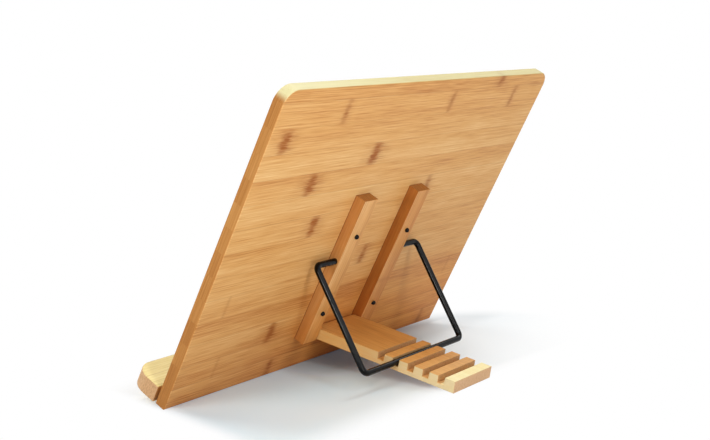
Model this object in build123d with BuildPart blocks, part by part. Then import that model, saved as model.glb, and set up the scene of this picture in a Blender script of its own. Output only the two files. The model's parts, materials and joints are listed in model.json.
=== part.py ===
"""Bamboo album stand with a folding ledge, a slotted foot and a wire prop.

Millimetres, +Z up. The reader sits at -Y and the panel leans back towards +Y.
Left and right are the reader's own: left is -X, right is +X.
The origin is on the table, below the middle of the stand.
"""
import os
from math import asin, atan2, cos, degrees, hypot, radians, sin, tan

from build123d import *

# Panel
lean_angle = 28.0
board_width = 340.0
board_height = 250.0
board_thickness = 9.0
board_corner_radius = 12.0
board_edge_round = 1.0

# Ribs behind the panel
rib_width = 16.4
rib_depth = 9.0
rib_length = 128.0
rib_bottom_height = 30.9
rib_edge_round = 0.5

# Slotted foot between the ribs
foot_width = 52.0
foot_thickness = 9.0
foot_reach = 127.5
foot_side_clearance = 0.5
foot_board_clearance = 0.4
notch_count = 5
notch_pitch = 13.3
notch_floor_width = 5.2
notch_depth = 5.4
notch_back_lean = 4.0
last_notch_from_end = 14.3
notch_in_use = 2
foot_edge_round = 0.4

# Pin that carries the foot
foot_pin_radius = 2.0
foot_pin_inset = 4.5
foot_pin_bite = 11.0
foot_pin_chamfer = 0.5
foot_pin_clearance = 0.05

# Wire prop
wire_radius = 2.4
wire_bend_radius = 4.5
prop_leg_spread = 131.0
prop_pivot_height = 105.2
prop_pivot_depth = 5.5
prop_end_bite = 13.0
prop_pivot_clearance = 0.08
prop_notch_clearance = 0.3
blind_hole_clearance = 0.5

# Screws through the ribs into the panel
rib_screw_head_radius = 1.75
rib_screw_head_height = 2.4
rib_screw_radius = 1.1
rib_screw_length = 14.0
upper_rib_screw_height = 96.9
lower_rib_screw_height = 27.6
rib_screw_stagger = 4.8
screw_clearance = 0.05

# Folding ledge
ledge_depth = 25.5
ledge_thickness = 13.2
ledge_drop = 1.2
ledge_corner_radius = 14.0
ledge_edge_round = 0.8
ledge_gap = 2.4

# Ledge hinges
hinge_spacing = 220.0
hinge_width = 25.0
hinge_leaf_height = 8.0
hinge_leaf_thickness = 0.8
hinge_let_in = 0.3
hinge_pocket_clearance = 0.2
knuckle_wall_clearance = 0.15
knuckle_end_clearance = 0.2
hinge_pin_radius = 0.6
hinge_pin_clearance = 0.03
hinge_screw_radius = 0.9
hinge_screw_length = 7.0
hinge_screw_spacing = 15.0
hinge_screw_drop = 4.6
countersink_angle = 90.0

# Page arms on the ledge's front face
arm_spacing = 210.0
arm_length = 56.0
arm_width = 10.0
arm_thickness = 1.5
arm_edge_chamfer = 0.3
arm_pivot_radius = 2.0
arm_pivot_clearance = 0.05
arm_axial_clearance = 0.2
arm_washer_radius = 5.0
arm_washer_thickness = 1.2
arm_screw_head_radius = 4.0
arm_screw_head_height = 2.2
arm_screw_head_round = 0.8
arm_screw_thread_radius = 1.5
arm_screw_thread_length = 13.0
arm_tip_length = 18.0
arm_tip_wall = 0.8
arm_tip_round = 0.6
arm_tip_clearance = 0.03

lean = radians(lean_angle)
up_slope = Vector(0, sin(lean), cos(lean))
to_front = Vector(0, -cos(lean), sin(lean))
across = Vector(1, 0, 0)
sides = {"left": -1, "right": 1}


def from_corner(height, front):
    """The point height up the panel and front ahead of its back face, from its lower back corner."""
    return up_slope * height + to_front * front


# Where the pieces lie, measured from the sharp lower back corner of the panel
corner_lift = -board_edge_round * (cos(lean) + sin(lean) - 1)
rib_inner_x = foot_width / 2 + foot_side_clearance
rib_outer_x = rib_inner_x + rib_width
foot_pin_height = rib_bottom_height + foot_pin_inset
foot_pin_depth = foot_thickness / 2 + foot_board_clearance
foot_pin_from_corner = from_corner(foot_pin_height, -foot_pin_depth)
foot_pin_above_table = foot_pin_from_corner.Z + corner_lift
foot_half = foot_thickness / 2
foot_slope = asin(foot_pin_above_table / hypot(foot_reach, foot_half)) - atan2(foot_half, foot_reach)

ledge_back = board_thickness + ledge_gap
ledge_front = ledge_back + ledge_depth
ledge_top_height = ledge_thickness - ledge_drop
arm_back = ledge_front + arm_washer_thickness
arm_front = arm_back + arm_thickness
arm_head_back = arm_front + arm_axial_clearance
arm_head_front = arm_head_back + arm_screw_head_height
arm_pivot_height = ledge_top_height - ledge_thickness / 2

# The stand's foremost and rearmost points set the origin halfway between them
foremost = (
    arm_pivot_height * sin(lean)
    - (arm_screw_head_radius - arm_screw_head_round) * sin(lean)
    - (arm_head_front - arm_screw_head_round) * cos(lean)
    - arm_screw_head_round
)
rearmost = foot_pin_from_corner.Y + foot_reach * cos(foot_slope) + foot_half * sin(foot_slope)
corner = Vector(0, -(foremost + rearmost) / 2, corner_lift)

board_plane = Plane(origin=corner, x_dir=across, z_dir=to_front)
ledge_plane = Plane(origin=corner + up_slope * -ledge_drop, x_dir=across, z_dir=up_slope)
foot_direction = Vector(0, cos(foot_slope), -sin(foot_slope))
foot_normal = Vector(0, sin(foot_slope), cos(foot_slope))
foot_pin_point = corner + foot_pin_from_corner
foot_plane = Plane(origin=foot_pin_point, x_dir=foot_direction, z_dir=across)


def on_board(x, height, front):
    return corner + from_corner(height, front) + across * x


# Notches: each front wall is square to the foot, each back wall leans out
notch_mouth_width = notch_floor_width + notch_depth * tan(radians(notch_back_lean))
notch_floor = foot_half - notch_depth
first_notch_wall = foot_reach - last_notch_from_end - (notch_count - 1) * notch_pitch
notch_walls = [first_notch_wall + i * notch_pitch for i in range(notch_count)]

# The prop runs from its pivot in the ribs to the notch in use
prop_pivot = on_board(0, prop_pivot_height, -prop_pivot_depth)
crossbar = (
    foot_pin_point
    + foot_direction * (notch_walls[notch_in_use - 1] + wire_radius + prop_notch_clearance)
    + foot_normal * (notch_floor + wire_radius + prop_notch_clearance)
)
prop_leg = crossbar - prop_pivot
prop_plane = Plane(origin=prop_pivot, x_dir=across, z_dir=across.cross(prop_leg.normalized()))
prop_hole_depth = prop_end_bite + blind_hole_clearance
foot_pin_hole_depth = foot_pin_bite + blind_hole_clearance

# Hinge knuckles fill the gap behind the ledge, their tops level with its top
knuckle_front = board_thickness + ledge_gap / 2
knuckle_radius = ledge_gap / 2 - knuckle_wall_clearance
knuckle_height = ledge_top_height - knuckle_radius
board_leaf_back = board_thickness - hinge_let_in
leaf_start = knuckle_height - knuckle_radius - knuckle_end_clearance
leaf_bottom = knuckle_height - hinge_leaf_height
knuckle_length = (hinge_width - 2 * knuckle_end_clearance) / 3
hinge_screw_head_radius = hinge_screw_radius + hinge_leaf_thickness * tan(radians(countersink_angle / 2))
hinge_screw_height = knuckle_height - hinge_screw_drop

rib_screw_places = {
    side: [
        rib_bottom_height + height - (rib_screw_stagger if side == "left" else 0)
        for height in (lower_rib_screw_height, upper_rib_screw_height)
    ]
    for side in sides
}


def rib_screw_planes(side):
    """Planes under the screw heads of one rib, facing away from the panel."""
    x = sides[side] * (rib_inner_x + rib_width / 2)
    return [
        Plane(on_board(x, height, -rib_depth), x_dir=across, z_dir=to_front * -1)
        for height in rib_screw_places[side]
    ]


def hinge_screw_planes(front, facing):
    """Planes at the screw heads of both hinges' leaves, on the leaf face that lies at front."""
    return [
        Plane(
            on_board(sign * hinge_spacing / 2 + half * hinge_screw_spacing / 2, hinge_screw_height, front),
            x_dir=across,
            z_dir=to_front * facing,
        )
        for sign in sides.values()
        for half in (-1, 1)
    ]


def arm_pivot_plane(side, front):
    center = on_board(sides[side] * arm_spacing / 2, arm_pivot_height, front)
    return Plane(center, x_dir=across, z_dir=to_front)


def countersunk_screw(radius, head_radius, length):
    """A countersunk wood screw with its head flush with the plane, pointing down -Z."""
    head_depth = (head_radius - radius) / tan(radians(countersink_angle / 2))
    point_length = 2 * radius
    with BuildPart() as screw:
        with BuildSketch(Plane.XZ):
            with BuildLine():
                Polyline(
                    (0, 0),
                    (head_radius, 0),
                    (radius, -head_depth),
                    (radius, point_length - length),
                    (0, -length),
                    close=True,
                )
            make_face()
        revolve(axis=Axis.Z)
    return screw.part


def round_head_screw(radius, head_radius, head_height, length):
    """A round-headed wood screw with its head on the plane, pointing down -Z."""
    point_length = 2 * radius
    with BuildPart() as screw:
        with BuildSketch(Plane.XZ):
            with BuildLine():
                TangentArc((0, head_height), (head_radius, 0), tangent=(1, 0))
                Polyline(
                    (head_radius, 0),
                    (radius, 0),
                    (radius, point_length - length),
                    (0, -length),
                    (0, head_height),
                )
            make_face()
        revolve(axis=Axis.Z)
    return screw.part


def copies(piece, planes):
    """One group of separate solids, a copy of the piece on each plane."""
    with BuildPart() as group:
        with Locations(*planes):
            add(piece)
    return group.part


def save(piece, name):
    piece.label = name
    export_step(piece, f"parts/{name}.step")


os.makedirs("parts", exist_ok=True)

# Panel: rounded upper corners, eased edges, shallow hinge pockets, pilot holes for the screws
board_screw_planes = hinge_screw_planes(board_leaf_back + hinge_leaf_thickness, 1)
pocket_bottom = leaf_bottom - hinge_pocket_clearance
pocket_top = ledge_top_height + hinge_pocket_clearance
with BuildPart() as backboard:
    with BuildSketch(board_plane) as outline:
        Rectangle(board_width, board_height, align=(Align.CENTER, Align.MIN))
        fillet(outline.vertices().group_by(Axis.Y)[-1], board_corner_radius)
    extrude(amount=board_thickness)
    faces_of_board = backboard.faces().sort_by(Axis(corner, to_front))
    fillet(faces_of_board[0].edges() + faces_of_board[-1].edges(), board_edge_round)
    with BuildSketch(board_plane.offset(board_thickness)):
        with Locations(*[(sign * hinge_spacing / 2, pocket_bottom) for sign in sides.values()]):
            Rectangle(
                hinge_width + 2 * hinge_pocket_clearance,
                pocket_top - pocket_bottom,
                align=(Align.CENTER, Align.MIN),
            )
    extrude(amount=-hinge_let_in, mode=Mode.SUBTRACT)
    with Locations(*rib_screw_planes("left"), *rib_screw_planes("right")):
        Hole(rib_screw_radius + screw_clearance, depth=rib_screw_length + blind_hole_clearance)
    with Locations(*board_screw_planes):
        Hole(hinge_screw_radius + screw_clearance, depth=hinge_screw_length + blind_hole_clearance)
save(backboard.part, "backboard")

# Ribs: square bars with screw holes, a blind pivot hole outside and a blind pin hole inside
for side, sign in sides.items():
    with BuildPart() as rib:
        with BuildSketch(board_plane):
            with Locations((sign * (rib_inner_x + rib_width / 2), rib_bottom_height)):
                Rectangle(rib_width, rib_length, align=(Align.CENTER, Align.MIN))
        extrude(amount=-rib_depth)
        fillet(rib.faces().sort_by(Axis(corner, to_front))[0].edges(), rib_edge_round)
        with Locations(*rib_screw_planes(side)):
            Hole(rib_screw_radius + screw_clearance, depth=rib_screw_length)
        with Locations(Plane(prop_pivot + across * sign * rib_outer_x, z_dir=across * sign)):
            Hole(wire_radius + prop_pivot_clearance, depth=prop_hole_depth)
        with Locations(Plane(foot_pin_point + across * sign * rib_inner_x, z_dir=across * -sign)):
            Hole(foot_pin_radius + foot_pin_clearance, depth=foot_pin_hole_depth)
    save(rib.part, f"rib_{side}")

rib_screw = round_head_screw(rib_screw_radius, rib_screw_head_radius, rib_screw_head_height, rib_screw_length)
save(copies(rib_screw, rib_screw_planes("left") + rib_screw_planes("right")), "rib_screws")

# Foot: a slab with a round heel on the pin and a row of notches near its far end
with BuildPart() as slotted_foot:
    with BuildSketch(foot_plane):
        Rectangle(foot_reach, foot_thickness, align=(Align.MIN, Align.CENTER))
        Circle(foot_half)
        Circle(foot_pin_radius + foot_pin_clearance, mode=Mode.SUBTRACT)
        for wall in notch_walls:
            with BuildLine():
                Polyline(
                    (wall, foot_half),
                    (wall, notch_floor),
                    (wall + notch_floor_width, notch_floor),
                    (wall + notch_mouth_width, foot_half),
                    close=True,
                )
            make_face(mode=Mode.SUBTRACT)
    extrude(amount=foot_width / 2, both=True)
    flanks = slotted_foot.faces().filter_by(Axis.X).sort_by(Axis.X)
    flank_edges = flanks[0].outer_wire().edges() + flanks[-1].outer_wire().edges()
    fillet(flank_edges, foot_edge_round)
save(slotted_foot.part, "slotted_foot")

with BuildPart() as foot_pin:
    with BuildSketch(foot_plane):
        Circle(foot_pin_radius)
    extrude(amount=rib_inner_x + foot_pin_bite, both=True)
    chamfer(foot_pin.edges().filter_by(GeomType.CIRCLE), foot_pin_chamfer)
save(foot_pin.part, "foot_pin")

# Prop: one bent rod whose ends turn in the ribs and whose crossbar stands in a notch
prop_end_x = rib_outer_x - prop_end_bite
prop_leg_x = prop_leg_spread / 2
with BuildPart() as prop_wire:
    with BuildLine(prop_plane) as prop_path:
        FilletPolyline(
            (prop_end_x, 0),
            (prop_leg_x, 0),
            (prop_leg_x, prop_leg.length),
            (-prop_leg_x, prop_leg.length),
            (-prop_leg_x, 0),
            (-prop_end_x, 0),
            radius=wire_bend_radius,
        )
    with BuildSketch(Plane(prop_pivot + across * prop_end_x, z_dir=across)):
        Circle(wire_radius)
    sweep(path=prop_path.wires()[0])
save(prop_wire.part, "prop_wire")

# Ledge: rounded front corners, eased edges, holes for the hinge and arm screws
ledge_screw_planes = hinge_screw_planes(ledge_back - hinge_leaf_thickness, -1)
with BuildPart() as front_ledge:
    with BuildSketch(ledge_plane) as plan:
        with Locations((0, -ledge_back)):
            Rectangle(board_width, ledge_depth, align=(Align.CENTER, Align.MAX))
        fillet(plan.vertices().group_by(Axis.Y)[0], ledge_corner_radius)
    extrude(amount=ledge_thickness)
    faces_of_ledge = front_ledge.faces().sort_by(Axis(corner, up_slope))
    fillet(faces_of_ledge[0].edges() + faces_of_ledge[-1].edges(), ledge_edge_round)
    with Locations(*ledge_screw_planes):
        Hole(hinge_screw_radius + screw_clearance, depth=hinge_screw_length + blind_hole_clearance)
    with Locations(*[arm_pivot_plane(side, ledge_front) for side in sides]):
        Hole(arm_screw_thread_radius + screw_clearance, depth=arm_screw_thread_length + blind_hole_clearance)
save(front_ledge.part, "front_ledge")


def hinge_leaf(center_x, back, knuckles, screw_planes):
    """A leaf against the face at back, with its rolled knuckles given as (start, end) along x."""
    inward = 1 if back < knuckle_front else -1
    axis_point = on_board(center_x, knuckle_height, knuckle_front)
    profile_plane = Plane(axis_point, x_dir=to_front * -1, z_dir=across)
    wall = knuckle_front - back
    leaf_rise = leaf_start - knuckle_height
    with BuildPart() as leaf:
        with BuildSketch(board_plane.offset(back)):
            with Locations((center_x, leaf_start)):
                Rectangle(hinge_width, leaf_start - leaf_bottom, align=(Align.CENTER, Align.MAX))
        extrude(amount=inward * hinge_leaf_thickness)
        for start, end in knuckles:
            with BuildSketch(profile_plane.offset(start)):
                Circle(knuckle_radius)
                with BuildLine():
                    Polyline(
                        (wall, 0),
                        (wall, leaf_rise),
                        (wall - inward * hinge_leaf_thickness, leaf_rise),
                        (wall - inward * hinge_leaf_thickness, 0),
                        close=True,
                    )
                make_face()
                Circle(hinge_pin_radius + hinge_pin_clearance, mode=Mode.SUBTRACT)
            extrude(amount=end - start)
        with Locations(*screw_planes):
            CounterSinkHole(
                radius=hinge_screw_radius + screw_clearance,
                counter_sink_radius=hinge_screw_head_radius + screw_clearance,
                depth=hinge_screw_length,
                counter_sink_angle=countersink_angle,
            )
    return leaf.part


half_knuckle = knuckle_length / 2
hinge_end = hinge_width / 2
outer_knuckles = [(-hinge_end, knuckle_length - hinge_end), (hinge_end - knuckle_length, hinge_end)]
middle_knuckle = [(-half_knuckle, half_knuckle)]
for side, sign in sides.items():
    hinge_x = sign * hinge_spacing / 2
    save(hinge_leaf(hinge_x, board_leaf_back, outer_knuckles, board_screw_planes), f"hinge_board_leaf_{side}")
    save(hinge_leaf(hinge_x, ledge_back, middle_knuckle, ledge_screw_planes), f"hinge_ledge_leaf_{side}")
    with BuildPart() as hinge_pin:
        with BuildSketch(Plane(on_board(hinge_x, knuckle_height, knuckle_front), z_dir=across)):
            Circle(hinge_pin_radius)
        extrude(amount=hinge_width / 2, both=True)
    save(hinge_pin.part, f"hinge_pin_{side}")

hinge_screw = countersunk_screw(hinge_screw_radius, hinge_screw_head_radius, hinge_screw_length)
save(copies(hinge_screw, board_screw_planes), "hinge_board_screws")
save(copies(hinge_screw, ledge_screw_planes), "hinge_ledge_screws")

# Page arms: flat bars lying along the ledge, each turning on a shouldered screw, with a soft tip
for side, sign in sides.items():
    pivot_plane = arm_pivot_plane(side, arm_back)
    tip_x = -sign * arm_length
    with BuildPart() as page_arm:
        with BuildSketch(pivot_plane):
            with Locations((tip_x / 2, 0)):
                SlotCenterToCenter(arm_length, arm_width)
        extrude(amount=arm_thickness)
        arm_faces = page_arm.faces().sort_by(Axis(corner, to_front))
        chamfer(arm_faces[0].edges() + arm_faces[-1].edges(), arm_edge_chamfer)
        with Locations(pivot_plane):
            Hole(arm_pivot_radius + arm_pivot_clearance)
    save(page_arm.part, f"page_arm_{side}")

    sleeve_start = -sign * (arm_length + arm_width / 2 - arm_tip_length)
    sleeve_width = arm_width + 2 * arm_tip_wall
    pocket_width = arm_width + 2 * arm_tip_clearance
    with BuildPart() as arm_tip:
        for width, back, front, mode in (
            (sleeve_width, -arm_tip_wall, arm_thickness + arm_tip_wall, Mode.ADD),
            (pocket_width, -arm_tip_clearance, arm_thickness + arm_tip_clearance, Mode.SUBTRACT),
        ):
            with BuildSketch(pivot_plane.offset(back)):
                with Locations((tip_x, 0)):
                    Circle(width / 2)
                with Locations(((tip_x + sleeve_start) / 2, 0)):
                    Rectangle(abs(tip_x - sleeve_start), width)
            extrude(amount=front - back, mode=mode)
            if mode == Mode.ADD:
                sleeve_faces = arm_tip.faces().sort_by(Axis(corner, to_front))
                fillet(sleeve_faces[0].edges() + sleeve_faces[-1].edges(), arm_tip_round)
    save(arm_tip.part, f"arm_tip_{side}")

with BuildPart() as pivot_screw:
    with BuildSketch(Plane.XZ):
        with BuildLine():
            Polyline(
                (0, arm_head_front - ledge_front),
                (arm_screw_head_radius, arm_head_front - ledge_front),
                (arm_screw_head_radius, arm_head_back - ledge_front),
                (arm_pivot_radius, arm_head_back - ledge_front),
                (arm_pivot_radius, 0),
                (arm_screw_thread_radius, 0),
                (arm_screw_thread_radius, -arm_screw_thread_length),
                (0, -arm_screw_thread_length),
                close=True,
            )
        make_face()
    revolve(axis=Axis.Z)
    fillet(pivot_screw.edges().group_by(Axis.Z)[-1], arm_screw_head_round)
save(copies(pivot_screw.part, [arm_pivot_plane(side, ledge_front) for side in sides]), "arm_pivot_screws")

with BuildPart() as washer:
    with BuildSketch():
        Circle(arm_washer_radius)
        Circle(arm_pivot_radius + arm_pivot_clearance, mode=Mode.SUBTRACT)
    extrude(amount=arm_washer_thickness)
save(copies(washer.part, [arm_pivot_plane(side, ledge_front) for side in sides]), "arm_washers")

print("foot slope", round(degrees(foot_slope), 2))
print("prop leg", round(prop_leg.length, 2))
print("corner", corner)
print("foot pin", foot_pin_point)
print("prop pivot", prop_pivot)
print("crossbar", crossbar)
print("knuckle", on_board(0, knuckle_height, knuckle_front))
print("arm pivot", on_board(arm_spacing / 2, arm_pivot_height, arm_back))
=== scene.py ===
"""Looks of the bamboo album stand: its finishes, its recessed screws, the floor, the light and the camera."""

import json
import math

import bmesh
import bpy
from mathutils import Matrix, Vector


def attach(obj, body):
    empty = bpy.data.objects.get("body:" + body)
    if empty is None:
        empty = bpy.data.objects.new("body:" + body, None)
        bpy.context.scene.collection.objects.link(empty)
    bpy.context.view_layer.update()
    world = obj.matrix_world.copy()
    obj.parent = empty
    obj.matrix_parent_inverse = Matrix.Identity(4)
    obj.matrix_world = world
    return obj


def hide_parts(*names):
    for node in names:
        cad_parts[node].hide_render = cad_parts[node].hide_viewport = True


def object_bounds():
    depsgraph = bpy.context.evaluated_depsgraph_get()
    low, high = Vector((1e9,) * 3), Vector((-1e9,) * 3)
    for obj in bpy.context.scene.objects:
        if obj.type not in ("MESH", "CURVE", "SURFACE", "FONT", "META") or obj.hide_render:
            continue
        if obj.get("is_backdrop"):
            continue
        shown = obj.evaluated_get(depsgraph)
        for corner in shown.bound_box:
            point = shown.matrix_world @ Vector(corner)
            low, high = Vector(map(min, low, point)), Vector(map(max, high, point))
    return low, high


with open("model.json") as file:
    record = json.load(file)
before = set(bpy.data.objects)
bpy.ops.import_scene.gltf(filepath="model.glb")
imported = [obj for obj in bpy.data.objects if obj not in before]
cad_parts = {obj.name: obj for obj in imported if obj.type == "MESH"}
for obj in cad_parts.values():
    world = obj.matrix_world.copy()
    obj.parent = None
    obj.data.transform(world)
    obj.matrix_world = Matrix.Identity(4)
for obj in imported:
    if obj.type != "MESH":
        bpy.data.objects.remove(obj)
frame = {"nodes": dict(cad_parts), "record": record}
cad_low, cad_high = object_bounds()
nodes = frame["nodes"]
mounts = {mount["name"]: mount for mount in frame["record"]["mounts"]}

# Directions of the stand, from its mounts and from the underside of its foot
ACROSS = Vector((1, 0, 0))
TO_FRONT = Vector(mounts["panel_front"]["axis"]).normalized()
UP_SLOPE = Vector(mounts["ledge_top"]["axis"]).normalized()
TO_BACK = -TO_FRONT
UNDERSIDE = max(nodes["slotted_foot"].data.polygons, key=lambda face: face.area).normal.copy()
ALONG_FOOT = ACROSS.cross(UNDERSIDE).normalized()
FOOT_NORMAL = -UNDERSIDE


class Value:
    """One output of a finish's nodes: arithmetic on it adds Math nodes."""

    def __init__(self, finish, socket):
        self.finish = finish
        self.socket = socket

    def __add__(self, other):
        return self.finish.math("ADD", self, other)

    def __radd__(self, other):
        return self.finish.math("ADD", other, self)

    def __sub__(self, other):
        return self.finish.math("SUBTRACT", self, other)

    def __rsub__(self, other):
        return self.finish.math("SUBTRACT", other, self)

    def __mul__(self, other):
        return self.finish.math("MULTIPLY", self, other)

    def __rmul__(self, other):
        return self.finish.math("MULTIPLY", other, self)

    def __truediv__(self, other):
        return self.finish.math("DIVIDE", self, other)

    def __rtruediv__(self, other):
        return self.finish.math("DIVIDE", other, self)

    def __abs__(self):
        return self.finish.math("ABSOLUTE", self)

    def __floor__(self):
        return self.finish.math("FLOOR", self)

    def __round__(self):
        return self.finish.math("ROUND", self)


NOISE_ROUGHNESS = 0.55
FINE_DETAIL = 3.0


class Finish:
    """The node tree of one material or of the world."""

    def __init__(self, owner):
        self.owner = owner
        owner.use_nodes = True
        self.tree = owner.node_tree
        self.tree.nodes.clear()

    def node(self, kind, settings=None, sockets=None, output=0):
        """Adds a node, sets it up, fills or links its sockets and gives one of its outputs."""
        made = self.tree.nodes.new(kind)
        for key, value in (settings or {}).items():
            if key == "stops":
                fill_ramp(made.color_ramp, value)
            else:
                setattr(made, key, value)
        for key, value in (sockets or {}).items():
            if isinstance(value, Value):
                self.tree.links.new(value.socket, made.inputs[key])
            else:
                made.inputs[key].default_value = value
        if not made.outputs:
            return None
        return Value(self, made.outputs[output])

    def math(self, operation, first, second=None):
        sockets = {0: first} if second is None else {0: first, 1: second}
        return self.node("ShaderNodeMath", {"operation": operation}, sockets)

    def largest(self, first, *others):
        for other in others:
            first = self.math("MAXIMUM", first, other)
        return first

    def between(self, share, low, high):
        """A value that runs evenly from low at share 0 to high at share 1."""
        return low + share * (high - low)

    def dot(self, vector, direction):
        sockets = {0: vector, 1: direction}
        return self.node("ShaderNodeVectorMath", {"operation": "DOT_PRODUCT"}, sockets, "Value")

    def mix(self, share, first, second, way="MIX"):
        """A colour between two colours."""
        settings = {"data_type": "RGBA", "blend_type": way}
        return self.node("ShaderNodeMix", settings, {0: share, 6: first, 7: second}, 2)

    def step(self, value, low, high):
        """A soft step from 0 at low to 1 at high."""
        settings = {"interpolation_type": "SMOOTHSTEP"}
        return self.node("ShaderNodeMapRange", settings, {"Value": value, "From Min": low, "From Max": high})

    def noise(self, x, y, z, detail=2.0):
        """Noise at a place counted in grains along each way."""
        place = self.node("ShaderNodeCombineXYZ", None, {0: x, 1: y, 2: z})
        sockets = {"Vector": place, "Scale": 1.0, "Detail": detail, "Roughness": NOISE_ROUGHNESS}
        return self.node("ShaderNodeTexNoise", None, sockets)

    def chance(self, number):
        """A random value that stays the same for the same number."""
        return self.node("ShaderNodeTexWhiteNoise", {"noise_dimensions": "1D"}, {"W": number})

    def table(self, share, rows):
        """One of some rows of four numbers, as a colour and its alpha, picked by a share from 0 to 1."""
        stops = [(i / len(rows), row) for i, row in enumerate(rows)]
        picked = self.node("ShaderNodeValToRGB", {"stops": stops}, {"Fac": share})
        picked.socket.node.color_ramp.interpolation = "CONSTANT"
        return picked

    def grains(self, size, detail=2.0):
        """Even noise whose grains have that size in metres."""
        place = self.node("ShaderNodeTexCoord", None, None, "Object")
        sockets = {"Vector": place, "Scale": 1 / size, "Detail": detail, "Roughness": NOISE_ROUGHNESS}
        return self.node("ShaderNodeTexNoise", None, sockets)

    def bump(self, height, depth, strength):
        return self.node("ShaderNodeBump", None, {"Height": height, "Distance": depth, "Strength": strength})

    def coat(self, sockets):
        """Ends the tree in a principled surface."""
        shader = self.node("ShaderNodeBsdfPrincipled", None, sockets)
        self.node("ShaderNodeOutputMaterial", None, {"Surface": shader})
        return self.owner


def new_finish(name):
    return Finish(bpy.data.materials.new(name))


def fill_ramp(ramp, stops):
    """Gives a colour ramp its stops, each a place and a colour."""
    while len(ramp.elements) < len(stops):
        ramp.elements.new(1.0)
    for element, (place, colour) in zip(ramp.elements, stops):
        element.position = place
        element.color = colour


def tint(red, green, blue):
    """A colour written as it looks on a screen, from 0 to 255."""
    linear = [
        level / 12.92 if level <= 0.04045 else ((level + 0.055) / 1.055) ** 2.4
        for level in (red / 255, green / 255, blue / 255)
    ]
    return (*linear, 1.0)


# Bamboo: dark, middle and light tone of a piece's faces, of its strips' sides and of their cut ends, and for
# the foot also of its notch walls, darker as painted shade, and of its tip, paler as painted light
PANEL_TONES = {
    "faces": (tint(170, 96, 33), tint(217, 166, 101), tint(239, 207, 150)),
    # Painted light: the strips' sides, the panel's top and bottom edges, are pale as if lit hard from above
    "sides": (tint(203, 181, 115), tint(218, 206, 148), tint(228, 219, 168)),
    "ends": (tint(150, 90, 38), tint(184, 126, 64), tint(206, 154, 90)),
}
NEAR_RIB_TONES = {
    "faces": (tint(186, 126, 66), tint(221, 170, 107), tint(242, 206, 154)),
    "sides": (tint(174, 102, 41), tint(210, 144, 76), tint(228, 173, 106)),
    "ends": (tint(134, 82, 34), tint(174, 114, 56), tint(194, 138, 78)),
}
# Painted shade: a darker copy of the near rib's tones, for the rib that lies in the near rib's shade
SHADED_FAR_RIB_TONES = {
    "faces": (tint(174, 110, 50), tint(207, 147, 82), tint(230, 186, 125)),
    "sides": (tint(136, 68, 15), tint(168, 97, 34), tint(192, 124, 55)),
    "ends": (tint(134, 82, 34), tint(174, 114, 56), tint(194, 138, 78)),
}
FOOT_TONES = {
    "faces": (tint(184, 120, 52), tint(218, 156, 82), tint(236, 184, 110)),
    "sides": (tint(236, 168, 86), tint(255, 198, 110), tint(255, 216, 140)),
    # Painted light: the sides turn to these paler tones towards the tip
    "lit_tip_sides": (tint(250, 222, 154), tint(255, 248, 190), tint(255, 250, 206)),
    "ends": (tint(192, 154, 114), tint(219, 183, 145), tint(229, 199, 163)),
    # Painted shade: the notch walls short of the last cut, darker as if in the notches' shade
    "shaded_notch_walls": (tint(166, 118, 72), tint(206, 163, 112), tint(226, 188, 136)),
    # Painted light: the tip's top, paler as if lit past the panel's shadow
    "tip": (tint(240, 222, 158), tint(254, 246, 190), tint(255, 250, 206)),
}
LEDGE_TONES = {
    # Painted light: the ledge's faces, its top and underside, are pale as if lit hard from above
    "faces": (tint(176, 150, 78), tint(229, 210, 140), tint(243, 231, 172)),
    "sides": (tint(190, 134, 74), tint(216, 162, 100), tint(232, 188, 132)),
    "ends": (tint(154, 112, 70), tint(213, 171, 127), tint(231, 198, 158)),
}
NODE_BROWN = tint(158, 90, 32)
# The brown of glue seams, also used for the painted shade along a rib's seat
SEAM_AND_SHADE_BROWN = tint(150, 92, 44)
# Painted shade: a warm cast multiplied in where light bounced between the parts warms the shade
WARM_SHADE_CAST = (1.0, 0.83, 0.6, 1.0)

# Where a surface turns into a face, by how it faces through the depth, and a side into a cut end, by how much
# more it faces along the grain than across it
FACE_TURN = (0.55, 0.85)
END_TURN = (-0.25, 0.25)
PANEL_END_TURN = (0.05, 0.75)

# Grain: waves to the metre along and across the strips, and how far they shift the tone
FIBRES = 900
FIBRES_ALONG = 13
FIBRE_SHARE = 0.85
HAIRS_ALONG = 42
HAIR_FINENESS = 2.2
HAIR_SHARE = 0.85
CLOUDS_ALONG = 7
CLOUDS_ACROSS = 70
CLOUD_SHARE = 0.4
TILT_SHARE = 0.5
STRIP_SHIFT = 3.7
STRIP_SEED = 0.37
PORES = 2600
PORES_ALONG = 300
PORE_SHARE = 0.6
END_CONTRAST = 1.1

# The foot's end, paler as painted light: metres short of its last cut and past it, and from the foot's root
CUT_EDGE = 0.0005
LIT_TIP_FROM = 0.035
LIT_TIP_TO = 0.005
LIT_TIP_SHARE = 0.15
LIT_SIDES_FROM = 0.02
LIT_SIDES_PAST = 0.01

# Nodes of the cane: widths in metres for the darkest ones, rows and waves to the metre, strengths
NODE_LINE = 0.0014
NODE_SPREAD = (0.00406, 0.00754)
NODE_HALO = 0.022
NODE_ROWS = 750
NODE_DRIFT = 160
NODE_RAGGED = 0.0018
RAGGED_SEED = 0.61
SPREAD_SEED = 0.23
DASH_FADE = 1.15
DASH_LEVEL = 1.15
DASH_EDGE_LOSS = 0.7
DASH_BY_FIBRE = (0.2, 1.05)
CORE_FADE = (-0.05, 0.32)
STREAKS_ALONG = 50
STREAK_FINENESS = 1.3
STREAK_FADE = (0.42, 0.7)
HALO_BY_STREAK = (0.16, 0.81)
HALO_BY_CORE = (0.5, 1.0)
PATCHES_ALONG = 90
PATCHES_ACROSS = 260
MARK_BY_PATCH = (0.2, 1.8)
PALE_NODE_GAIN = 0.4
SIDE_LOSS = 0.8

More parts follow.
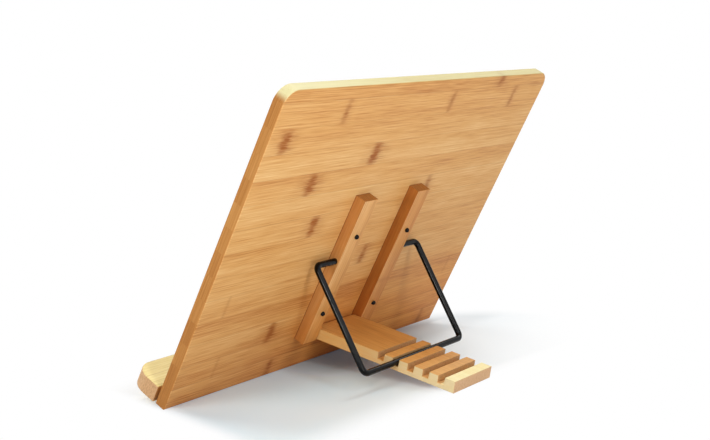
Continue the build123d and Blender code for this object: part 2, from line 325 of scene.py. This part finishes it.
# Glue lines and the painted shade along a rib's seat on the panel, in metres, and their strengths
SEAM_WIDTH = 0.0005
SEAM_BY_STRIP = (0.08, 0.38)
SEAM_END_LOSS = 0.7
SEAT_SHADOW_LINE = 0.0009
SEAT_SHADOW_SHARE = 0.85
SEAT_SHADE = 0.0075
SEAT_SHADE_SHARE = 0.22

# Relief and gloss
RELIEF_DEPTH = 0.00003
FIBRE_RELIEF = 0.6
HAIR_RELIEF = 0.4
SEAM_RELIEF = 0.5
NODE_RELIEF = 0.2
ROUGH_BY_FIBRE = (0.33, 0.63)
END_ROUGHER = 0.14


def bamboo(name, tones, grain, across, corner, width, strips, layers, redder=None, side_change=None,
           end_turn=END_TURN, fibres=FIBRES, last_cut=None, seat=None):
    """Strips of clear-coated bamboo that run along grain, side by side along across, from a corner.

    Each strip is the places of two nodes along it, the distance after which they come again, how dark they
    are, and the strip's own tone. Layers says how fine its cut ends are streaked along across and through the
    depth, fibres how many there are to the metre, and end_turn where its sides turn into ends. Redder is the
    range along and the range aside over which a redder cast, painted warm shade, fades out, and side_change
    the range along over which the sides change their tone, and by how much, as painted light or shade. Notch
    walls short of last_cut are painted dark as shade, and painted shade runs along the seat, a plane that
    faces the piece's neighbour: a thin dark line and a wider soft band.
    """
    finish = new_finish(name)
    depth_way = grain.cross(across)
    place = finish.node("ShaderNodeTexCoord", None, None, "Object")
    facing = finish.node("ShaderNodeTexCoord", None, None, "Normal")
    along = finish.dot(place, grain) - corner.dot(grain)
    aside = finish.dot(place, across) - corner.dot(across)
    depth = finish.dot(place, depth_way) - corner.dot(depth_way)
    on_face = finish.step(abs(finish.dot(facing, depth_way)), *FACE_TURN)
    lengthwise = abs(finish.dot(facing, grain)) - abs(finish.dot(facing, across))
    end_share = finish.step(lengthwise, *end_turn)
    on_side = (1 - on_face) * (1 - end_share)
    on_end = (1 - on_face) * end_share

    strip = math.floor(aside / width)
    within = aside / width - strip
    to_edge = 0.5 - abs(within - 0.5)
    chance = finish.chance(strip + STRIP_SEED)
    shift = strip * STRIP_SHIFT
    which = (strip + 0.5) / len(strips)
    facts = finish.table(which, [own_facts[:4] for own_facts in strips])
    node_depth = Value(finish, facts.socket.node.outputs["Alpha"])
    parts = finish.node("ShaderNodeSeparateColor", None, {"Color": facts}).socket.node.outputs
    first_node, second_node, node_spacing = [Value(finish, socket) for socket in parts]
    strip_tone = finish.table(which, [(own, own, own, 1.0) for *_, own in strips])

    # Fibres along the grain, streaked layers and pores across it
    fibre = finish.noise(along * FIBRES_ALONG + shift, aside * fibres, depth * fibres, FINE_DETAIL)
    hairs = fibres * HAIR_FINENESS
    hair = finish.noise(along * HAIRS_ALONG, aside * hairs, depth * hairs)
    cloud = finish.noise(along * CLOUDS_ALONG + shift, aside * CLOUDS_ACROSS + shift, depth * CLOUDS_ACROSS)
    tilt = (within - 0.5) * (chance - 0.5) * TILT_SHARE
    waves = (cloud - 0.5) * CLOUD_SHARE + (fibre - 0.5) * FIBRE_SHARE + (hair - 0.5) * HAIR_SHARE
    tone = strip_tone + tilt + waves
    layer = finish.noise(aside * layers[0], depth * layers[1], shift, FINE_DETAIL)
    pore = finish.noise(aside * PORES, depth * PORES, along * PORES_ALONG)
    end_tone = layer + (strip_tone - 0.5) * END_CONTRAST + (pore - 0.5) * PORE_SHARE

    def cut(kind, shade):
        stops = list(zip((0.0, 0.5, 1.0), tones[kind]))
        return finish.node("ShaderNodeValToRGB", {"stops": stops}, {"Fac": shade})

    faces = cut("faces", tone)
    side_tone = tone
    if side_change is not None:
        start, end, change = side_change
        side_tone = tone + finish.step(along, start, end) * change
    sides = cut("sides", side_tone)
    ends = cut("ends", end_tone)
    if last_cut is not None:
        past = finish.step(along, last_cut - CUT_EDGE, last_cut + CUT_EDGE)
        # Painted light: the faces and sides turn paler towards the tip, as if lit past the panel's shadow
        painted_light = finish.step(along, last_cut - LIT_TIP_FROM, last_cut - LIT_TIP_TO) * LIT_TIP_SHARE
        faces = finish.mix(finish.largest(past, painted_light), faces, cut("tip", tone))
        lit_sides_share = finish.step(along, LIT_SIDES_FROM, last_cut + LIT_SIDES_PAST)
        sides = finish.mix(lit_sides_share, sides, cut("lit_tip_sides", tone))
        # Painted shade: notch walls short of the last cut are darker
        ends = finish.mix(past, cut("shaded_notch_walls", end_tone), ends)
    colour = finish.mix(on_face, finish.mix(end_share, sides, ends), faces)
    # Painted shade: a redder cast where light bounced between the parts warms the shade
    if redder is not None:
        along_range, aside_range = redder
        share = (1 - finish.step(along, *along_range)) * (1 - finish.step(aside, *aside_range))
        colour = finish.mix(share, colour, WARM_SHADE_CAST, "MULTIPLY")

    # Nodes of the cane: rows of short brown dashes across one strip in a streaked halo, wide where it is dark
    row = math.floor(aside * NODE_ROWS)
    drift = finish.noise(aside * NODE_DRIFT, depth * NODE_DRIFT, shift) - 0.5
    ragged = (drift + finish.chance(row + RAGGED_SEED) - 0.5) * NODE_RAGGED * node_depth
    nearest = []
    for node_place in (first_node, second_node):
        turns = (along + ragged - node_place) / node_spacing
        nearest.append(abs(turns - round(turns)) * node_spacing)
    from_node = finish.math("MINIMUM", *nearest)
    core = finish.step(to_edge, *CORE_FADE)
    spread = finish.between(finish.chance(row + SPREAD_SEED), *NODE_SPREAD)
    bar = 1 - finish.step(from_node / (NODE_LINE + node_depth * spread), 0.0, DASH_FADE)
    bar_level = DASH_LEVEL - DASH_EDGE_LOSS * node_depth * (1 - core)
    dashes = bar * finish.between(fibre, *DASH_BY_FIBRE) * bar_level
    threads = fibres * STREAK_FINENESS
    thread = finish.noise(along * STREAKS_ALONG + shift, aside * threads, depth * threads)
    streak = finish.step(thread, *STREAK_FADE)
    around = 1 - finish.step(from_node, 0.0, NODE_LINE + node_depth * NODE_HALO)
    halo = around * finish.between(streak, *HALO_BY_STREAK) * finish.between(core, *HALO_BY_CORE)
    patch = finish.noise(along * PATCHES_ALONG, aside * PATCHES_ACROSS + shift, depth * PATCHES_ACROSS)
    strength = node_depth * (1 + PALE_NODE_GAIN * (1 - node_depth)) * finish.between(patch, *MARK_BY_PATCH)
    mark = (dashes + halo) * strength * (1 - on_side * SIDE_LOSS)
    colour = finish.mix(mark, colour, NODE_BROWN)

    # Glue lines between strips, and painted shade along the seat: a dark contact line and a wider soft band
    seam = 1 - finish.step(to_edge * width, 0.0, SEAM_WIDTH)
    line = seam * finish.between(chance, *SEAM_BY_STRIP) * (1 - on_end * SEAM_END_LOSS)
    if seat is not None:
        seat_way, seat_level = seat
        gap = seat_level - finish.dot(place, seat_way)
        seat_shadow = (1 - finish.step(gap, 0.0, SEAT_SHADOW_LINE)) * SEAT_SHADOW_SHARE
        line = line + seat_shadow + (1 - finish.step(gap, 0.0, SEAT_SHADE)) * SEAT_SHADE_SHARE
    colour = finish.mix(line, colour, SEAM_AND_SHADE_BROWN)

    height = fibre * FIBRE_RELIEF + hair * HAIR_RELIEF - seam * SEAM_RELIEF - mark * NODE_RELIEF
    return finish.coat({
        "Base Color": colour,
        "Roughness": finish.between(fibre, *ROUGH_BY_FIBRE) + on_end * END_ROUGHER,
        "Normal": finish.bump(height, RELIEF_DEPTH, strength=0.6),
        "Specular IOR Level": 0.18,
        "Coat Weight": 0.04,
        "Coat Roughness": 0.3,
    })


# Paint, metal and mouldings: sizes in metres or as so many grains, and how far patches change the roughness
BLOOM_SIZE = 0.018
BLOOM_FADE = (0.42, 0.75)
BLOOM_ROUGHER = 0.12
BLOOM_PALER = 4
PEEL_ROUGHER = 0.06
PATCH_GRAINS = 14
PATCH_FADE = (0.35, 0.75)
PATCH_ROUGHER = 0.3
SCRATCH_ROUGHER = 0.2
SCRATCH_DEPTH = 0.00001
SCRATCH_DETAIL = 4.0
SCUFF_GRAINS = 30
SCUFF_FADE = (0.45, 0.8)
SCUFF_ROUGHER = 0.2


def black_coat(name, level, roughness, peel_size, peel_depth, shine=0.17):
    """Satin black paint with a fine orange peel and a faint bloom of dust."""
    finish = new_finish(name)
    peel = finish.grains(peel_size)
    bloom = finish.grains(BLOOM_SIZE, FINE_DETAIL)
    dull = tint(level, level, level + 1)
    dusty = tint(level + BLOOM_PALER, level + BLOOM_PALER, level + BLOOM_PALER - 1)
    return finish.coat({
        "Base Color": finish.mix(finish.step(bloom, *BLOOM_FADE), dull, dusty),
        "Roughness": roughness + (bloom - 0.5) * BLOOM_ROUGHER + (peel - 0.5) * PEEL_ROUGHER,
        "Normal": finish.bump(peel, peel_depth, strength=0.5),
        "Specular IOR Level": shine,
    })


def bright_metal(name, colour, worn, roughness, grain_size):
    """Drawn or plated metal with fine scratches and duller patches."""
    finish = new_finish(name)
    scratches = finish.grains(grain_size, SCRATCH_DETAIL)
    patches = finish.grains(grain_size * PATCH_GRAINS, FINE_DETAIL)
    return finish.coat({
        "Base Color": finish.mix(finish.step(patches, *PATCH_FADE), colour, worn),
        "Metallic": 1.0,
        "Roughness": roughness + (patches - 0.5) * PATCH_ROUGHER + (scratches - 0.5) * SCRATCH_ROUGHER,
        "Normal": finish.bump(scratches, SCRATCH_DEPTH, strength=0.4),
    })


def moulded(name, colour, scuffed, roughness, grain_size, grain_depth):
    """Moulded rubber or plastic with a spark-eroded skin."""
    finish = new_finish(name)
    skin = finish.grains(grain_size, FINE_DETAIL)
    scuffs = finish.grains(grain_size * SCUFF_GRAINS, FINE_DETAIL)
    return finish.coat({
        "Base Color": finish.mix(finish.step(scuffs, *SCUFF_FADE), colour, scuffed),
        "Roughness": roughness + (scuffs - 0.5) * SCUFF_ROUGHER,
        "Normal": finish.bump(skin, grain_depth, strength=0.5),
    })


# Strips: places of two nodes along it, the distance to the next two, the nodes' darkness, the strip's tone;
# the panel's lower strips are darker, partly as painted shade towards its bottom
PANEL_STRIP = 0.0186
PANEL_STRIP_START = -0.0016
PANEL_STRIPS = [
    (0.024, 0.232, 0.40, 0.55, 0.40),
    (0.300, 0.300, 0.40, 0.15, 0.41),
    (0.249, 0.249, 0.40, 0.85, 0.50),
    (0.020, 0.020, 0.40, 0.12, 0.40),
    (0.110, 0.315, 0.40, 0.15, 0.53),
    (0.168, 0.168, 0.40, 0.60, 0.52),
    (0.600, 0.600, 0.80, 0.00, 0.52),
    (0.252, 0.252, 0.40, 0.80, 0.56),
    (0.118, 0.118, 0.40, 0.55, 0.62),
    (0.275, 0.275, 0.40, 0.92, 0.52),
    (0.212, 0.212, 0.40, 0.95, 0.60),
    (0.323, 0.323, 0.40, 0.85, 0.54),
    (0.0465, 0.1375, 0.222, 0.42, 0.49),
    (0.075, 0.075, 0.40, 0.70, 0.44),
]
PANEL_LAYERS = (14, 900)
# Painted shade: the redder cast over the panel's lower far corner and the ribs' lower ends
PANEL_WARM_SHADE = ((0.15, 0.31), (0.04, 0.095))
# Painted light: the panel's sides turn paler over this range along it, by this much
PANEL_SIDES_PAINTED_LIGHT = (0.18, 0.33, 0.5)
RIB_STRIPS = [(0.045, 0.045, 0.30, 0.20, 0.50)]
RIB_FIBRES = 420
RIB_LAYERS = (900, 200)
RIB_WARM_SHADE = ((0.0, 0.05), (1.0, 2.0))
# Painted shade: the near rib's sides turn darker towards its top
RIB_LOOKS = {"left": (SHADED_FAR_RIB_TONES, None), "right": (NEAR_RIB_TONES, (0.06, 0.11, -0.25))}
FOOT_STRIPS = [(0.600, 0.600, 0.80, 0.0, 0.50)]
FOOT_FIBRES = 520
FOOT_LAYERS = (500, 700)
FOOT_TIP = 0.0115
LEDGE_STRIP = 0.0125
LEDGE_STRIPS = [(0.070, 0.070, 0.40, 0.14, 0.46), (0.215, 0.215, 0.40, 0.16, 0.54)]
LEDGE_LAYERS = (1000, 420)


def lowest_corner(node, *ways):
    """The point of a node that lies lowest along each of three ways."""
    points = [vertex.co for vertex in nodes[node].data.vertices]
    return sum((way * min(way.dot(point) for point in points) for way in ways), Vector())


def highest(node, way):
    return max(way.dot(vertex.co) for vertex in nodes[node].data.vertices)


panel_corner = lowest_corner("backboard", ACROSS, UP_SLOPE, TO_FRONT) + UP_SLOPE * PANEL_STRIP_START
panel_bamboo = bamboo(
    "panel_bamboo", PANEL_TONES, ACROSS, UP_SLOPE, panel_corner, PANEL_STRIP, PANEL_STRIPS, PANEL_LAYERS,
    redder=PANEL_WARM_SHADE, side_change=PANEL_SIDES_PAINTED_LIGHT, end_turn=PANEL_END_TURN,
)
foot_corner = lowest_corner("slotted_foot", ACROSS, ALONG_FOOT, FOOT_NORMAL)
foot_length = highest("slotted_foot", ALONG_FOOT) - ALONG_FOOT.dot(foot_corner)
foot_width = highest("slotted_foot", ACROSS) - ACROSS.dot(foot_corner)
foot_bamboo = bamboo(
    "foot_bamboo", FOOT_TONES, ALONG_FOOT, ACROSS, foot_corner, foot_width, FOOT_STRIPS, FOOT_LAYERS,
    fibres=FOOT_FIBRES, last_cut=foot_length - FOOT_TIP,
)
ledge_corner = lowest_corner("front_ledge", ACROSS, TO_FRONT, UP_SLOPE)
ledge_bamboo = bamboo(
    "ledge_bamboo", LEDGE_TONES, ACROSS, TO_FRONT, ledge_corner, LEDGE_STRIP, LEDGE_STRIPS, LEDGE_LAYERS,
)
rod_black = black_coat(
    "rod_black", level=2, roughness=0.12, peel_size=0.0008, peel_depth=0.000002, shine=0.15,
)
arm_black = black_coat("arm_black", level=12, roughness=0.4, peel_size=0.0006, peel_depth=0.00002)
screw_black = black_coat("screw_black", level=3, roughness=0.5, peel_size=0.0004, peel_depth=0.00001)
drawn_steel = bright_metal(
    "drawn_steel", tint(196, 197, 200), tint(168, 168, 170), roughness=0.28, grain_size=0.0004,
)
brass_plate = bright_metal(
    "brass_plate", tint(214, 180, 112), tint(180, 146, 88), roughness=0.3, grain_size=0.0004,
)
soft_black = moulded(
    "soft_black", tint(38, 38, 39), tint(58, 57, 56), roughness=0.72, grain_size=0.0004, grain_depth=0.00004,
)
white_nylon = moulded(
    "white_nylon", tint(226, 224, 216), tint(206, 203, 194), roughness=0.5, grain_size=0.0005,
    grain_depth=0.00002,
)

finishes = {
    "backboard": panel_bamboo,
    "slotted_foot": foot_bamboo,
    "front_ledge": ledge_bamboo,
    "prop_wire": rod_black,
    "rib_screws": screw_black,
    "arm_pivot_screws": screw_black,
    "arm_washers": white_nylon,
    "foot_pin": drawn_steel,
    "hinge_board_screws": brass_plate,
    "hinge_ledge_screws": brass_plate,
}
for side, (rib_tones, rib_sides) in RIB_LOOKS.items():
    rib = f"rib_{side}"
    rib_corner = lowest_corner(rib, ACROSS, UP_SLOPE, TO_FRONT)
    rib_width = highest(rib, ACROSS) - ACROSS.dot(rib_corner)
    finishes[rib] = bamboo(
        f"{rib}_bamboo", rib_tones, UP_SLOPE, ACROSS, rib_corner, rib_width, RIB_STRIPS, RIB_LAYERS,
        redder=RIB_WARM_SHADE, side_change=rib_sides, fibres=RIB_FIBRES, seat=(TO_FRONT, highest(rib, TO_FRONT)),
    )
    finishes[f"page_arm_{side}"] = arm_black
    finishes[f"arm_tip_{side}"] = soft_black
    finishes[f"hinge_board_leaf_{side}"] = brass_plate
    finishes[f"hinge_ledge_leaf_{side}"] = brass_plate
    finishes[f"hinge_pin_{side}"] = drawn_steel

for name, material in finishes.items():
    materials = nodes[name].data.materials
    materials.clear()
    materials.append(material)


# Screws: each profile runs from the recess over the head and down to the point, as radius and height in mm,
# the recess is its reach, half the width of its slots and its depth, and a domed head has a dome's radius.
# Corners of the plain screws closer than the spread, in metres, belong to one screw
MM_PER_METRE = 1000
SCREW_SIDES = 48
SCREW_SPREAD = 0.009
SCREW_SHARP_EDGE = 35
FIRST_SCREW_TURN = 0.4
NEXT_SCREW_TURN = 0.7
RECESS_TAPER = 0.55
RIB_HEAD_DOME = 1.838
RIB_SCREW = [(1.05, -0.329), (1.3, -0.539), (1.5, -0.776), (1.65, -1.028), (1.76, -1.308), (1.82, -1.582)]
RIB_SCREW += [(1.838, -1.838), (1.81, -2.157), (1.75, -2.4), (1.1, -2.4), (1.1, -14.2), (0.0, -16.4)]
RIB_RECESS = (0.92, 0.2, 0.95)
HINGE_SCREW = [(0.95, 0.0), (1.62, 0.0), (1.7, -0.06), (0.9, -0.8), (0.9, -5.2), (0.0, -7.0)]
HINGE_RECESS = (0.82, 0.17, 0.6)
PIVOT_SCREW = [(2.0, 0.0), (3.2, 0.0), (3.5, -0.06), (3.77, -0.23), (3.94, -0.5), (4.0, -0.8), (4.0, -2.2)]
PIVOT_SCREW += [(2.0, -2.2), (2.0, -5.1), (1.5, -5.1), (1.5, -18.1), (0.0, -18.1)]
PIVOT_RECESS = (1.75, 0.38, 1.3)


def screw_places(node, facing):
    """The top of each screw of a node, on its own axis along facing."""
    groups = []
    for vertex in nodes[node].data.vertices:
        spot = (ACROSS.dot(vertex.co), UP_SLOPE.dot(vertex.co), facing.dot(vertex.co))
        for group in groups:
            if math.dist(group[0][:2], spot[:2]) < SCREW_SPREAD:
                group.append(spot)
                break
        else:
            groups.append([spot])
    tops = []
    for group in groups:
        wide, tall, rise = zip(*group)
        tops.append(((min(wide) + max(wide)) / 2, (min(tall) + max(tall)) / 2, max(rise)))
    return [ACROSS * wide + UP_SLOPE * tall + facing * rise for wide, tall, rise in sorted(tops)]


def add_screw(bm, top, facing, turn, profile, recess, dome):
    """Adds one closed screw with a cross recess to a mesh."""
    first = ACROSS * math.cos(turn) + facing.cross(ACROSS) * math.sin(turn)
    second = facing.cross(first)

    def corner(x, y, height):
        return bm.verts.new(top + (first * x + second * y + facing * height) / MM_PER_METRE)

    def crown(x, y):
        if dome is None:
            return 0.0
        return math.sqrt(dome * dome - x * x - y * y) - dome

    steps = [math.tau * i / SCREW_SIDES for i in range(SCREW_SIDES)]
    rings = [[corner(r * math.cos(a), r * math.sin(a), h) for a in steps] for r, h in profile[:-1]]
    point = corner(0.0, 0.0, profile[-1][1])
    reach, half, depth = recess
    quarter = [(reach, -half), (reach, half), (half, half)]
    cross = quarter + [(-y, x) for x, y in quarter]
    cross += [(-x, -y) for x, y in cross]
    rim = [corner(x, y, crown(x, y)) for x, y in cross]
    bottom = [corner(x * RECESS_TAPER, y * RECESS_TAPER, -depth) for x, y in cross]
    share = SCREW_SIDES // len(cross)
    for i in range(len(cross)):
        after = (i + 1) % len(cross)
        start = i * share - share // 2
        arc = [rings[0][(start + k) % SCREW_SIDES] for k in range(share + 1)]
        bm.faces.new([rim[i], *arc, rim[after]])
        bm.faces.new([rim[i], rim[after], bottom[after], bottom[i]])
    bm.faces.new(bottom)
    for i in range(SCREW_SIDES):
        after = (i + 1) % SCREW_SIDES
        for upper, lower in zip(rings, rings[1:]):
            bm.faces.new([upper[after], upper[i], lower[i], lower[after]])
        bm.faces.new([rings[-1][after], rings[-1][i], point])


def screw_set(name, node, facing, body, material, profile, recess, dome=None):
    """The screws of one node, with the recesses that the plain ones lack."""
    bm = bmesh.new()
    for i, top in enumerate(screw_places(node, facing)):
        turn = FIRST_SCREW_TURN + NEXT_SCREW_TURN * i
        add_screw(bm, top, facing, turn, profile, recess, dome)
    mesh = bpy.data.meshes.new(name)
    bm.to_mesh(mesh)
    bm.free()
    mesh.shade_smooth()
    mesh.set_sharp_from_angle(angle=math.radians(SCREW_SHARP_EDGE))
    mesh.materials.append(material)
    piece = bpy.data.objects.new(name, mesh)
    bpy.context.scene.collection.objects.link(piece)
    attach(piece, body)
    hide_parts(node)


screw_set(
    "rib_round_head_screws", "rib_screws", TO_BACK, "stand", screw_black,
    RIB_SCREW, RIB_RECESS, RIB_HEAD_DOME,
)
screw_set(
    "board_leaf_screws", "hinge_board_screws", TO_FRONT, "stand", brass_plate,
    HINGE_SCREW, HINGE_RECESS,
)
screw_set(
    "ledge_leaf_screws", "hinge_ledge_screws", TO_BACK, "ledge", brass_plate,
    HINGE_SCREW, HINGE_RECESS,
)
screw_set(
    "arm_pan_head_screws", "arm_pivot_screws", TO_FRONT, "ledge", screw_black,
    PIVOT_SCREW, PIVOT_RECESS,
)


# Floor: its colours in bounced light and as it is seen, then ranges in metres across and behind the middle,
# or counted in reaches from a place
FLOOR_SIZE = 40.0
FLOOR_HEIGHT = -0.0001
FLOOR_BOUNCE = (0.90, 0.83, 0.74, 1.0)
# Painted light: the paper is seen bluer behind the panel and bluer still by the foot, which cancels the warm
# light bounced from the stand
FLOOR_SEEN = (0.84, 0.94, 0.97, 1.0)
FLOOR_AT_FOOT = (0.76, 0.94, 1.0, 1.0)
FLOOR_FRONT = (0.93, 0.94, 0.94, 1.0)
FLOOR_COOL_GLOW = (0.0, 0.02, 0.045, 1.0)
FLOOR_BESIDE_GLOW = (0.02, 0.06, 0.11, 1.0)
BLACK = (0.0, 0.0, 0.0, 1.0)
WHITE = (1.0, 1.0, 1.0, 1.0)
FOOT_PLACE = (0.015, -0.02, 0.0)
FOOT_REACH = (0.195, 0.1, 1.0)
FOOT_SHADE = (0.3, 0.85)
PAINTED_SHADOW_ACROSS = (0.015, 0.05)
PAINTED_SHADOW_BEHIND = (-0.025, 0.0)
PAINTED_SHADOW_SHARE = 0.33
BESIDE_ACROSS = (0.015, 0.06)
BESIDE_BEHIND = (0.0, 0.05)
BACK_START = (-0.085, -0.05)
SHADE_PLACE = (0.066, 0.008, 0.0)
SHADE_REACH = (0.217, 0.102, 1.0)
SHADE_FADE = (1.0, 1.45)
OPEN_WAY = (-3.0, 4.5, 0.0)
OPEN_START = 0.05
OPEN_BEHIND = (-0.065, -0.035)
EDGE_SLANT = 0.25
EDGE_SIDE = (0.17, 0.19)
EDGE_BEHIND = (0.052, 0.09)
FAR_ACROSS = (-0.165, -0.14)
FAR_BEHIND = (-0.052, -0.042)
FAR_SHARE = 0.62
SKY_LIGHT = 0.1

# Camera and the place that the near lamps point at
LIT_PLACE = Vector((0.0, 0.0, 0.12))
CAMERA_PLACE = Vector((0.76237, 0.541683, 0.25125))
CAMERA_AZIMUTH = 126.787
CAMERA_ELEVATION = 9.741
CAMERA_ROLL = -0.92
CAMERA_LENS = 63.315
CAMERA_SENSOR = 36.0
CAMERA_SHIFT = (0.02124, 0.04558)


def seen_directly(finish):
    """1 for the camera's own rays and for those seen in gloss or through glass."""
    path = finish.node("ShaderNodeLightPath").socket.node.outputs
    rays = [Value(finish, path[name]) for name in ("Is Camera Ray", "Is Glossy Ray", "Is Transmission Ray")]
    return finish.largest(*rays)


def white_sky():
    """An even sky that is seen white and lights the stand less than that."""
    sky = bpy.data.worlds.new("sky")
    bpy.context.scene.world = sky
    light = Finish(sky)
    plain = light.node("ShaderNodeBackground", None, {"Color": WHITE, "Strength": SKY_LIGHT})
    white = light.node("ShaderNodeBackground", None, {"Color": WHITE, "Strength": 1.0})
    seen = light.node("ShaderNodeMixShader", None, {0: seen_directly(light), 1: plain, 2: white})
    light.node("ShaderNodeOutputWorld", None, {"Surface": seen})


def white_paper():
    """White paper with painted shade and glow in the stand's shadow, glowing white past set edges of it."""
    paper = new_finish("white_paper")
    seen = seen_directly(paper)
    place = paper.node("ShaderNodeTexCoord", None, None, "Object")
    across = paper.dot(place, (1, 0, 0))
    behind = paper.dot(place, (0, 1, 0))

    def away(centre, reach):
        apart = paper.node("ShaderNodeVectorMath", {"operation": "SUBTRACT"}, {0: place, 1: centre})
        shrunk = paper.node("ShaderNodeVectorMath", {"operation": "DIVIDE"}, {0: apart, 1: reach})
        return paper.node("ShaderNodeVectorMath", {"operation": "LENGTH"}, {0: shrunk}, "Value")

    # The shadow's tones: painted shadow of darker paper by the foot's root under the panel, bluer paper that
    # cancels the warm light bounced from the stand, and a painted cool glow beside and behind the panel
    at_foot = 1 - paper.step(away(FOOT_PLACE, FOOT_REACH), *FOOT_SHADE)
    painted_shadow = (1 - paper.step(across, *PAINTED_SHADOW_ACROSS)) * (1 - paper.step(behind, *PAINTED_SHADOW_BEHIND)) * PAINTED_SHADOW_SHARE
    back = paper.step(behind, *BACK_START)
    shade = paper.mix(painted_shadow, paper.mix(at_foot, FLOOR_SEEN, FLOOR_AT_FOOT), BLACK)
    colour = paper.mix(seen, FLOOR_BOUNCE, paper.mix(back, FLOOR_FRONT, shade))
    lit = paper.node("ShaderNodeBsdfDiffuse", None, {"Color": colour})
    # Painted light: a faint cool glow on the paper behind the panel's front, stronger towards the near side
    beside = paper.step(across, *BESIDE_ACROSS) * (1 - paper.step(behind, *BESIDE_BEHIND))
    cool_glow_colour = paper.mix(seen * back * (1 - painted_shadow), BLACK, paper.mix(beside, FLOOR_COOL_GLOW, FLOOR_BESIDE_GLOW))
    cool_glow = paper.node("ShaderNodeEmission", None, {"Color": cool_glow_colour, "Strength": 1.0})
    matt = paper.node("ShaderNodeAddShader", None, {0: lit, 1: cool_glow})

    # Painted light: the paper glows plain white beyond set edges, which cut the stand's shadow to a fixed
    # shape
    past_shade = paper.step(away(SHADE_PLACE, SHADE_REACH), *SHADE_FADE)
    open_side = paper.step(paper.dot(place, OPEN_WAY) + OPEN_START, 0.0, 1.0)
    open_side = open_side * paper.step(behind, *OPEN_BEHIND)
    past_side = paper.step(across - behind * EDGE_SLANT, *EDGE_SIDE)
    past_back = paper.step(behind, *EDGE_BEHIND)
    far_end = (1 - paper.step(across, *FAR_ACROSS)) * paper.step(behind, *FAR_BEHIND) * FAR_SHARE
    beyond = seen * paper.largest(past_shade, open_side, past_side, past_back, far_end)
    glow = paper.node("ShaderNodeEmission", None, {"Color": WHITE, "Strength": 1.0})
    surface = paper.node("ShaderNodeMixShader", None, {0: beyond, 1: matt, 2: glow})
    paper.node("ShaderNodeOutputMaterial", None, {"Surface": surface})
    return paper.owner


def add_floor():
    """A wide floor just under the stand."""
    half = FLOOR_SIZE / 2
    corners = [(-half, -half, FLOOR_HEIGHT), (half, -half, FLOOR_HEIGHT)]
    corners += [(half, half, FLOOR_HEIGHT), (-half, half, FLOOR_HEIGHT)]
    mesh = bpy.data.meshes.new("floor")
    mesh.from_pydata(corners, [], [(0, 1, 2, 3)])
    mesh.materials.append(white_paper())
    floor = bpy.data.objects.new("floor", mesh)
    bpy.context.scene.collection.objects.link(floor)
    floor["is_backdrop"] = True


def direction(azimuth, elevation):
    """The way towards a place round the stand, in degrees."""
    turn = math.radians(azimuth)
    rise = math.radians(elevation)
    return Vector((math.sin(turn) * math.cos(rise), -math.cos(turn) * math.cos(rise), math.sin(rise)))


def soft_sun(name, azimuth, elevation, strength, softness):
    """A wide far lamp that shines from a direction round the stand, azimuth 0 from the reader's side."""
    lamp = bpy.data.lights.new(name, "SUN")
    lamp.energy = strength
    lamp.angle = math.radians(softness)
    source = direction(azimuth, elevation)
    holder = bpy.data.objects.new(name, lamp)
    holder.rotation_euler = source.to_track_quat("Z", "Y").to_euler()
    bpy.context.scene.collection.objects.link(holder)


def strip_box(name, azimuth, elevation, distance, width, height, watts):
    """An upright lamp near the stand, which its far side gets less of and which draws a line on the rod."""
    lamp = bpy.data.lights.new(name, "AREA")
    lamp.energy = watts
    lamp.shape = "RECTANGLE"
    lamp.size = width
    lamp.size_y = height
    source = direction(azimuth, elevation)
    holder = bpy.data.objects.new(name, lamp)
    holder.location = LIT_PLACE + source * distance
    holder.rotation_euler = source.to_track_quat("Z", "Y").to_euler()
    holder.visible_camera = False
    bpy.context.scene.collection.objects.link(holder)


def photo_camera():
    """The camera at the photograph's place, angle and framing."""
    back = direction(CAMERA_AZIMUTH, CAMERA_ELEVATION)
    level = Vector((0, 0, 1)).cross(back).normalized()
    upright = back.cross(level)
    roll = math.radians(CAMERA_ROLL)
    right = level * math.cos(roll) + upright * math.sin(roll)
    up = upright * math.cos(roll) - level * math.sin(roll)
    lens = bpy.data.cameras.new("photo_camera")
    lens.lens = CAMERA_LENS
    lens.sensor_width = CAMERA_SENSOR
    lens.shift_x, lens.shift_y = CAMERA_SHIFT
    camera = bpy.data.objects.new("photo_camera", lens)
    camera.matrix_world = Matrix.Translation(CAMERA_PLACE) @ Matrix((right, up, back)).transposed().to_4x4()
    bpy.context.scene.collection.objects.link(camera)
    bpy.context.scene.camera = camera


white_sky()
add_floor()
soft_sun("sun_right", azimuth=270, elevation=54, strength=1.42, softness=36)
soft_sun("sun_left", azimuth=90, elevation=45, strength=0.85, softness=30)
soft_sun("sun_front", azimuth=0, elevation=55, strength=0.75, softness=30)
strip_box("strip_behind", azimuth=155, elevation=19, distance=0.9, width=0.15, height=0.75, watts=3.6)
strip_box("strip_beside", azimuth=98, elevation=5.7, distance=0.9, width=0.15, height=0.09, watts=1.3)
photo_camera()
bpy.context.scene.view_settings.view_transform = "Standard"

low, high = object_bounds()
{"cad": [list(cad_low), list(cad_high)], "visual": [list(low), list(high)]}
